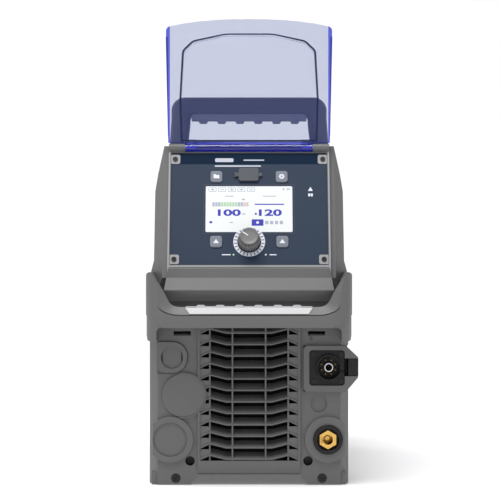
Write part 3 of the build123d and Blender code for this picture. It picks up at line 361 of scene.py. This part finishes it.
def rectangle(x0, x1, s0, s1):
    return np.array([(x0, s0), (x1, s0), (x1, s1), (x0, s1)], dtype=float)


def disc(x, s, r, count=20):
    turn = np.arange(count) * 2 * math.pi / count
    return np.stack([x + r * np.cos(turn), s + r * np.sin(turn)], axis=-1)


def roundedBox(x, s, width, height, radius, count=6):
    # corner arcs, one quarter each
    turn = np.linspace(0, math.pi / 2, count)
    corners = []
    for k, (sx, ss) in enumerate(((1, 1), (-1, 1), (-1, -1), (1, -1))):
        cx = x + sx * (width / 2 - radius)
        cs = s + ss * (height / 2 - radius)
        angle = turn + k * math.pi / 2
        corners.append(np.stack([cx + radius * np.cos(angle), cs + radius * np.sin(angle)], axis=-1))
    return np.concatenate(corners)


def stripe(x, s, angle, inner, outer, width):
    # a short bar pointing outwards from (x, s)
    along = np.array([math.cos(angle), math.sin(angle)])
    across = np.array([-along[1], along[0]]) * width / 2
    centre = np.array([x, s])
    return np.array([centre + along * inner - across, centre + along * outer - across,
                     centre + along * outer + across, centre + along * inner + across])


def printed(name, outlines, low, high, material, body="cabinet", place=panelPoint):
    # flat shapes raised from one level to another: an outline carried straight up, closed on both faces
    points = []
    faces = []
    start = 0
    for shape in outlines:
        count = len(shape)
        ring = np.arange(count)
        nextOne = np.roll(ring, -1)
        points.append(place(shape[:, 0], shape[:, 1], low))
        points.append(place(shape[:, 0], shape[:, 1], high))
        faces += (start + np.stack([ring, nextOne, nextOne + count, ring + count], axis=-1)).tolist()
        faces.append((start + ring[::-1]).tolist())
        faces.append((start + ring + count).tolist())
        start += 2 * count
    mesh = bpy.data.meshes.new(name)
    mesh.from_pydata(np.concatenate(points).tolist(), [], faces)
    mesh.validate()
    outward(mesh)
    return newPiece(name, mesh, material, body)


def figures(name, text, x, s, width, height, low, high, material, place=panelPoint):
    # plain figures, centred on (x, s), as a shallow relief
    curve = bpy.data.curves.new(name, "FONT")
    curve.body = text
    curve.size = 1.0
    curve.resolution_u = 4
    curve.extrude = 0.5
    curve.offset = 0.035
    holder = bpy.data.objects.new(name + "Text", curve)
    bpy.context.collection.objects.link(holder)
    bpy.context.view_layer.update()
    mesh = bpy.data.meshes.new_from_object(holder.evaluated_get(bpy.context.evaluated_depsgraph_get()))
    bpy.data.objects.remove(holder)
    flat = np.empty(len(mesh.vertices) * 3)
    mesh.vertices.foreach_get("co", flat)
    flat = flat.reshape(-1, 3)
    low2, high2 = flat.min(axis=0), flat.max(axis=0)
    middle = (low2 + high2) / 2
    across = x + (flat[:, 0] - middle[0]) * width / (high2[0] - low2[0])
    up = s + (flat[:, 1] - middle[1]) * height / (high2[1] - low2[1])
    depth = np.where(flat[:, 2] > 0, high, low)
    mesh.vertices.foreach_set("co", place(across, up, depth).reshape(-1))
    mesh.update()
    work = bmesh.new()
    work.from_mesh(mesh)
    bmesh.ops.remove_doubles(work, verts=work.verts, dist=1e-7)
    bmesh.ops.recalc_face_normals(work, faces=work.faces)
    work.to_mesh(mesh)
    work.free()
    return newPiece(name, mesh, material, "cabinet")


def turned(profile, x, s, count=96, ripple=None, place=panelPoint):
    # radius and height along a profile, spun round (x, s); ripple adds to the radius by angle and place
    profile = np.array(profile, dtype=float)
    turn = np.arange(count) * 2 * math.pi / count
    radius = profile[:, :1] + np.zeros((1, count))
    if ripple is not None:
        radius = radius + ripple(turn[None, :], np.arange(len(profile))[:, None])
    return place(x + radius * np.cos(turn), s + radius * np.sin(turn), profile[:, 1:2])


# width of the rounded edge on each moulding, in millimetres
edgeWidth = {
    "front_frame": 1.1, "panel_bezel": 1.3, "front_handle": 2.0, "rear_handle": 2.0, "front_grille": 0.5,
    "front_handle_grip": 0.7, "rear_handle_grip": 0.7, "top_handle_grip": 0.7, "torch_housing": 1.2,
    "rear_frame": 1.6, "blank_plugs": 0.5, "work_socket_shell": 1.0, "work_socket_contact": 0.4,
    "torch_insulator": 0.5, "torch_flange": 0.3, "usb_cap": 0.7, "control_panel": 0.3, "lid": 0.5,
    "mains_switch_knob": 1.2, "mains_switch_body": 0.8, "cable_gland": 0.8, "air_inlet": 0.4,
    "top_cover": 0.3, "heatsink": 0.2, "fan_frame": 0.6, "rubber_feet": 0.6, "torch_release_button": 0.5,
}
for name, width in edgeWidth.items():
    softEdges(name, width)
print("rounded mouldings made")

# the knob: radius and height pairs from its foot to the middle of its face
knobLook = {"x": 0.2, "s": 33.2, "skirt": 13.95, "face": 11.2, "top": 17.5, "ribs": 26}
knobProfile = [
    (9.0, 0.6), (13.2, 0.6), (13.9, 1.1), (13.95, 2.0), (13.9, 5.0), (13.7, 7.6), (13.1, 8.9), (12.5, 9.4),
    (12.15, 10.5), (11.9, 14.5), (11.7, 16.3), (11.3, 17.1), (10.7, 17.45), (10.2, 17.5), (9.8, 17.35),
    (9.3, 17.1), (6.0, 17.0), (2.5, 16.95),
]
knobRows = np.array(knobProfile)


def knobRibs(turn, row):
    # ribs on the skirt and the barrel, none on the top face
    height = knobRows[row, 1]
    onSkirt = (height > 0.9) & (height < 8.9)
    onBarrel = (height > 9.6) & (height < 16.6)
    strength = np.where(onSkirt, 0.62, np.where(onBarrel, 0.45, 0.0))
    return strength * np.tanh(2.2 * np.cos(knobLook["ribs"] * turn)) - strength


knobGrid = turned(knobProfile, knobLook["x"], knobLook["s"], 240, knobRibs)
knob = newPiece("knobShape", gridMesh("knobShape", knobGrid), dialGrey, bodyOfNode["knob"])
smoothed(knob, 40)
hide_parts("knob")
pointerShape = stripe(knobLook["x"], knobLook["s"], math.radians(146), 1.5, 10.0, 1.3)
printed("knobPointer", [pointerShape], 16.9, 17.62, inkWhite, bodyOfNode["knob"])

scaleLook = {"inner": 14.8, "outer": 19.6, "low": -1.55, "high": -1.2, "ticks": 24}
ringProfile = [(scaleLook["inner"], scaleLook["low"]), (scaleLook["inner"], scaleLook["high"]),
               (scaleLook["outer"] - 0.3, scaleLook["high"]), (scaleLook["outer"], scaleLook["high"] - 0.1),
               (scaleLook["outer"], scaleLook["low"]), (scaleLook["inner"], scaleLook["low"])]
ringGrid = turned(ringProfile, knobLook["x"], knobLook["s"], 96)
ring = newPiece("knobScale", gridMesh("knobScale", ringGrid, True, False), inkWhite, "cabinet")
ticks = []
for k in range(scaleLook["ticks"]):
    angle = math.radians(k * 360 / scaleLook["ticks"] + 7.5)
    ticks.append(stripe(knobLook["x"], knobLook["s"], angle, 15.4, 18.9, 1.1))
printed("scaleTicks", ticks, -1.25, -1.08, inkDark)

# the four keys: across and up the slope of each middle
keySpots = {"button_menu": (-40.7, 120.6), "button_settings": (40.7, 120.6), "button_down": (-40.7, 33.0),
            "button_up": (41.1, 33.0)}
keyLook = {"size": 15.0, "corner": 3.2, "foot": -4.0, "shoulder": -0.3, "crown": 0.1}
for name, (x, s) in keySpots.items():
    # each ring of the cap: how far it is drawn in, and its height
    levels = [(0.0, keyLook["foot"]), (0.0, keyLook["shoulder"]), (0.35, -0.02), (0.9, 0.07),
              (2.2, keyLook["crown"])]
    rings = []
    for inset, level in levels:
        side = keyLook["size"] - 2 * inset
        outline = roundedBox(x, s, side, side, keyLook["corner"] - inset * 0.6)
        rings.append(panelPoint(outline[:, 0], outline[:, 1], level))
    capMesh = gridMesh(name, np.stack(rings))
    key = newPiece(name.replace("_", "") + "Cap", capMesh, keyGrey, bodyOfNode[name])
    smoothed(key, 40)
    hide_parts(name)
symbol = {"low": 0.05, "high": 0.28}


def keySymbol(name, node, shapes):
    return printed(name, shapes, symbol["low"], symbol["high"], inkWhite, bodyOfNode[node])


fx, fs = keySpots["button_menu"]
keySymbol("folderSymbol", "button_menu", [rectangle(fx - 3.6, fx + 3.6, fs - 2.6, fs + 1.9),
                                          rectangle(fx - 3.6, fx - 0.6, fs + 1.9, fs + 3.0)])
gx, gs = keySpots["button_settings"]
teeth = 8
gearTurn = np.arange(teeth * 4) * 2 * math.pi / (teeth * 4)
gearRadius = np.where((np.arange(teeth * 4) // 2) % 2 == 0, 3.8, 2.8)
gear = np.stack([gx + gearRadius * np.cos(gearTurn), gs + gearRadius * np.sin(gearTurn)], axis=-1)
keySymbol("gearSymbol", "button_settings", [gear])
for name, node in (("leftArrowSymbol", "button_down"), ("rightArrowSymbol", "button_up")):
    x, s = keySpots[node]
    keySymbol(name, node, [np.array([(x - 3.6, s - 2.4), (x + 3.6, s - 2.4), (x, s + 3.2)])])
printed("gearHole", [disc(gx, gs, 1.2)], 0.2, 0.33, keyGrey, bodyOfNode["button_settings"])
print("knob and keys made")

# the display's picture, as thin pieces just above the glass
glass = {"plate": -1.74, "low": -1.66, "high": -1.59, "top": -1.54}
plateShape = roundedBox(0.0, 77.1, 107.6, 61.6, 1.6)
printed("screenPlate", [plateShape], glass["plate"], glass["low"] + 0.01, screenWhite)
tabs = [roundedBox(-45.5 + 12.0 * k, 103.6, 9.6, 6.0, 0.8) for k in range(5)]
tabFaces = [roundedBox(-45.5 + 12.0 * k, 103.6, 8.2, 4.6, 0.5) for k in range(5)]
printed("screenTabs", tabs, glass["low"], glass["high"], screenGrey)
printed("screenTabFaces", tabFaces, glass["high"] - 0.01, glass["high"] + 0.02, screenWhite)
icons = [rectangle(-47.8 + 12.0 * k, -43.2 + 12.0 * k, 103.1, 104.1) for k in range(5)]
icons += [rectangle(-46.0 + 12.0 * k, -45.0 + 12.0 * k, 102.0, 105.2) for k in (0, 2, 3)]
icons += [disc(43.0, 104.0, 1.3), rectangle(46.5, 51.0, 103.2, 104.8)]
icons += [rectangle(-30.0, -19.0, 94.0, 94.9), rectangle(17.0, 34.0, 94.0, 94.9)]
printed("screenIcons", icons, glass["low"], glass["top"], screenGrey)
bars = {"start": -45.5, "step": 3.5, "count": 13, "width": 2.9, "low": 80.6, "high": 86.2}


def barShapes(numbers):
    lefts = [bars["start"] + bars["step"] * k for k in numbers]
    return [rectangle(left, left + bars["width"], bars["low"], bars["high"]) for left in lefts]


printed("barsIdle", barShapes((0, 1, 2, 9, 10)), glass["low"], glass["high"], screenGrey)
printed("barsGood", barShapes(range(3, 9)), glass["low"], glass["high"], screenGreen)
printed("barsHigh", barShapes((11, 12)), glass["low"], glass["high"], screenRed)
blues = [rectangle(7.0, 43.5, 82.7, 84.2), roundedBox(10.6, 58.9, 14.6, 8.6, 0.8), disc(8.4, 70.6, 1.4)]
blues += [rectangle(-49.0, -45.6, 58.0, 60.8)]
printed("screenBlocks", blues, glass["low"], glass["high"], screenBlue)
lowers = [roundedBox(22.0 + 6.0 * k, 58.9, 4.0, 4.6, 0.6) for k in range(4)]
lowers += [rectangle(-24.0, -20.0, 58.2, 59.6), rectangle(-9.5, -4.5, 69.8, 71.2),
           rectangle(-9.0, -5.0, 89.0, 91.0)]
printed("screenLower", lowers, glass["low"], glass["high"], screenGrey)
printed("screenMark", [disc(10.6, 58.9, 1.8)], glass["high"] - 0.01, glass["top"], screenWhite)
figures("leftReading", "100", -24.5, 72.2, 28.5, 9.0, glass["low"], glass["high"], screenBlue)
figures("rightReading", "120", 26.4, 72.2, 28.5, 9.0, glass["low"], glass["high"], screenBlue)

# the panel's darker top band, print, lamps, corner pads and painted highlight strips along the bezel
ink = {"low": -1.52, "high": -1.38, "raised": -1.30}
# a darker blue band across the top of the panel
printed("panelHeader", [roundedBox(0.0, 145.3, 194.6, 14.6, 2.0)], ink["low"], ink["high"] - 0.02, panelDeep)
frameLines = []
for x0, x1, s0, s1 in ((-56.4, 56.4, 109.6, 110.2), (-56.4, 56.4, 44.0, 44.6), (-56.4, -55.8, 44.6, 109.6),
                       (55.8, 56.4, 44.6, 109.6)):
    frameLines.append(rectangle(x0, x1, s0, s1))
printed("displaySurround", frameLines, ink["low"], ink["high"], inkDark)
plainBadge = [roundedBox(-31.0, 143.5, 23.0, 5.2, 1.4), roundedBox(6.0, 143.5, 26.0, 1.6, 0.7),
              roundedBox(-14.0, 135.4, 58.0, 2.0, 0.9)]
printed("plainBadge", plainBadge, ink["low"], ink["raised"], inkLavender)
lampSpots = ((-19.1, 15.9), (20.6, 15.9))
printed("powerLamp", [disc(*lampSpots[0], 1.1)], -3.0, -1.3, lampGreen)
printed("faultLamp", [disc(*lampSpots[1], 1.1)], -3.0, -1.3, inkWhite)
captions = [roundedBox(-28.0, 15.9, 11.0, 1.3, 0.5), roundedBox(29.5, 15.9, 8.5, 1.3, 0.5)]
captions += [np.array([(73.5, 101.5), (79.5, 101.5), (76.5, 107.0)]), rectangle(73.6, 76.2, 94.2, 98.0),
             rectangle(76.8, 79.4, 94.2, 98.0)]
printed("panelMarks", captions, ink["low"], ink["high"], inkWhite)
padSpots = [(sx * 92.3, s) for sx in (-1, 1) for s in (9.6, 144.6)]
printed("cornerPads", [roundedBox(x, s, 12.4, 12.4, 2.4) for x, s in padSpots], ink["low"], -1.0, trimGrey)
# painted highlight: light grey strips along the bezel's sides and bottom edge, where the rim catches the
# light
highlightStrips = [rectangle(98.5, 100.4, -7.5, 155.0), rectangle(-100.4, -98.5, -7.5, 155.0),
              rectangle(-98.5, 98.5, -0.9, 1.2)]
printed("bezelTrim", highlightStrips, -0.05, 0.16, trimGrey)
print("display and panel print made")

# a blank rating plate and plain switch marks at the rear
rear = {
    "sunk": 261.8, "face": 262.35, "print": 262.5, "switchX": 62.0, "switchZ": 325.0,
    "plateX": -4.0, "plateZ": 345.0,
}
ratingShape = roundedBox(rear["plateX"], rear["plateZ"], 58.0, 36.0, 2.0)
printed("ratingPlate", [ratingShape], rear["sunk"], rear["face"], aluminiumRaw,
        place=rearPoint)
plateLines = []
for k in range(5):
    lineEnd = rear["plateX"] + (25.0 if k % 2 else 12.0)
    lineLow = rear["plateZ"] + 11.0 - 5.6 * k
    plateLines.append(rectangle(rear["plateX"] - 25.0, lineEnd, lineLow, lineLow + 1.2))
printed("ratingLines", plateLines, rear["sunk"], rear["print"], inkDark,
        place=rearPoint)
switchTicks = [stripe(rear["switchX"], rear["switchZ"], math.radians(angle), 26.0, 30.5, 1.4)
               for angle in (90.0, 0.0)]
printed("switchTicks", switchTicks, rear["sunk"], rear["face"], inkWhite,
        place=rearPoint)
markPlaces = (("offMark", "0", rear["switchX"], rear["switchZ"] + 36.0, 4.2),
              ("onMark", "1", rear["switchX"] + 36.0, rear["switchZ"], 1.8))
for name, text, x, z, width in markPlaces:
    figures(name, text, x, z, width, 6.5, rear["sunk"], rear["face"], inkWhite, rearPoint)
print("rear marks made")

# pale floor that curves up behind, then the lights and the camera
studio = {"floor": (0.86, 0.86, 0.87), "glow": 0.13, "sky": 0.60, "key": 68.0, "fill": 3.0, "rim": 5.0}
floorMaterial, _, floorShader = newMaterial("studioFloor", studio["floor"], 0.7)
floorShader.inputs["Specular IOR Level"].default_value = 0.2
floorShader.inputs["Emission Color"].default_value = (1.0, 1.0, 1.0, 1.0)
floorShader.inputs["Emission Strength"].default_value = studio["glow"]
bend = np.linspace(0, 1, 25)
curve = 1.6 + 1.2 * np.sin(bend[1:] * math.pi / 2)
run = np.concatenate([np.linspace(-6.0, 1.6, 6), curve, np.full(4, 2.8)])
rise = np.concatenate([np.zeros(6), 1.2 * (1 - np.cos(bend[1:] * math.pi / 2)), np.linspace(2.0, 6.0, 4)])
across = np.linspace(-6.0, 6.0, 9)
sweep = np.stack(np.broadcast_arrays(across[None, :], run[:, None], rise[:, None]), axis=-1)
floorMesh = gridMesh("studioFloor", sweep, False, False)
floorMesh.materials.append(floorMaterial)
floor = bpy.data.objects.new("studioFloor", floorMesh)
bpy.context.collection.objects.link(floor)
smoothed(floor)

world = bpy.data.worlds.new("studio")
bpy.context.scene.world = world
world.use_nodes = True
world.node_tree.nodes["Background"].inputs["Color"].default_value = (1.0, 1.0, 1.0, 1.0)
world.node_tree.nodes["Background"].inputs["Strength"].default_value = studio["sky"]


def softLight(name, place, aim, size, power):
    light = bpy.data.lights.new(name, "AREA")
    light.shape = "RECTANGLE"
    light.size, light.size_y = size
    light.energy = power
    holder = bpy.data.objects.new(name, light)
    bpy.context.collection.objects.link(holder)
    holder.location = place
    holder.rotation_euler = (Vector(aim) - Vector(place)).to_track_quat("-Z", "Y").to_euler()


softLight("keyLight", (-0.4, -0.9, 2.6), (0.0, -0.1, 0.3), (1.6, 1.4), studio["key"])
softLight("fillLight", (2.0, -1.6, 1.1), (0.0, -0.1, 0.3), (1.2, 1.8), studio["fill"])
softLight("rimLight", (-1.4, 1.5, 1.6), (0.0, 0.1, 0.35), (1.2, 1.2), studio["rim"])

view = {"distance": 2.5, "height": 0.289, "across": 0.0012, "front": -0.262, "width": 0.615}
cameraData = bpy.data.cameras.new("camera")
cameraData.sensor_width = 36.0
cameraData.lens = 36.0 * view["distance"] / view["width"]
camera = bpy.data.objects.new("camera", cameraData)
bpy.context.collection.objects.link(camera)
camera.location = (view["across"], view["front"] - view["distance"], view["height"])
camera.rotation_euler = (math.pi / 2, 0.0, 0.0)
bpy.context.scene.camera = camera
bpy.context.scene.view_settings.view_transform = "Standard"
print("studio and camera set")
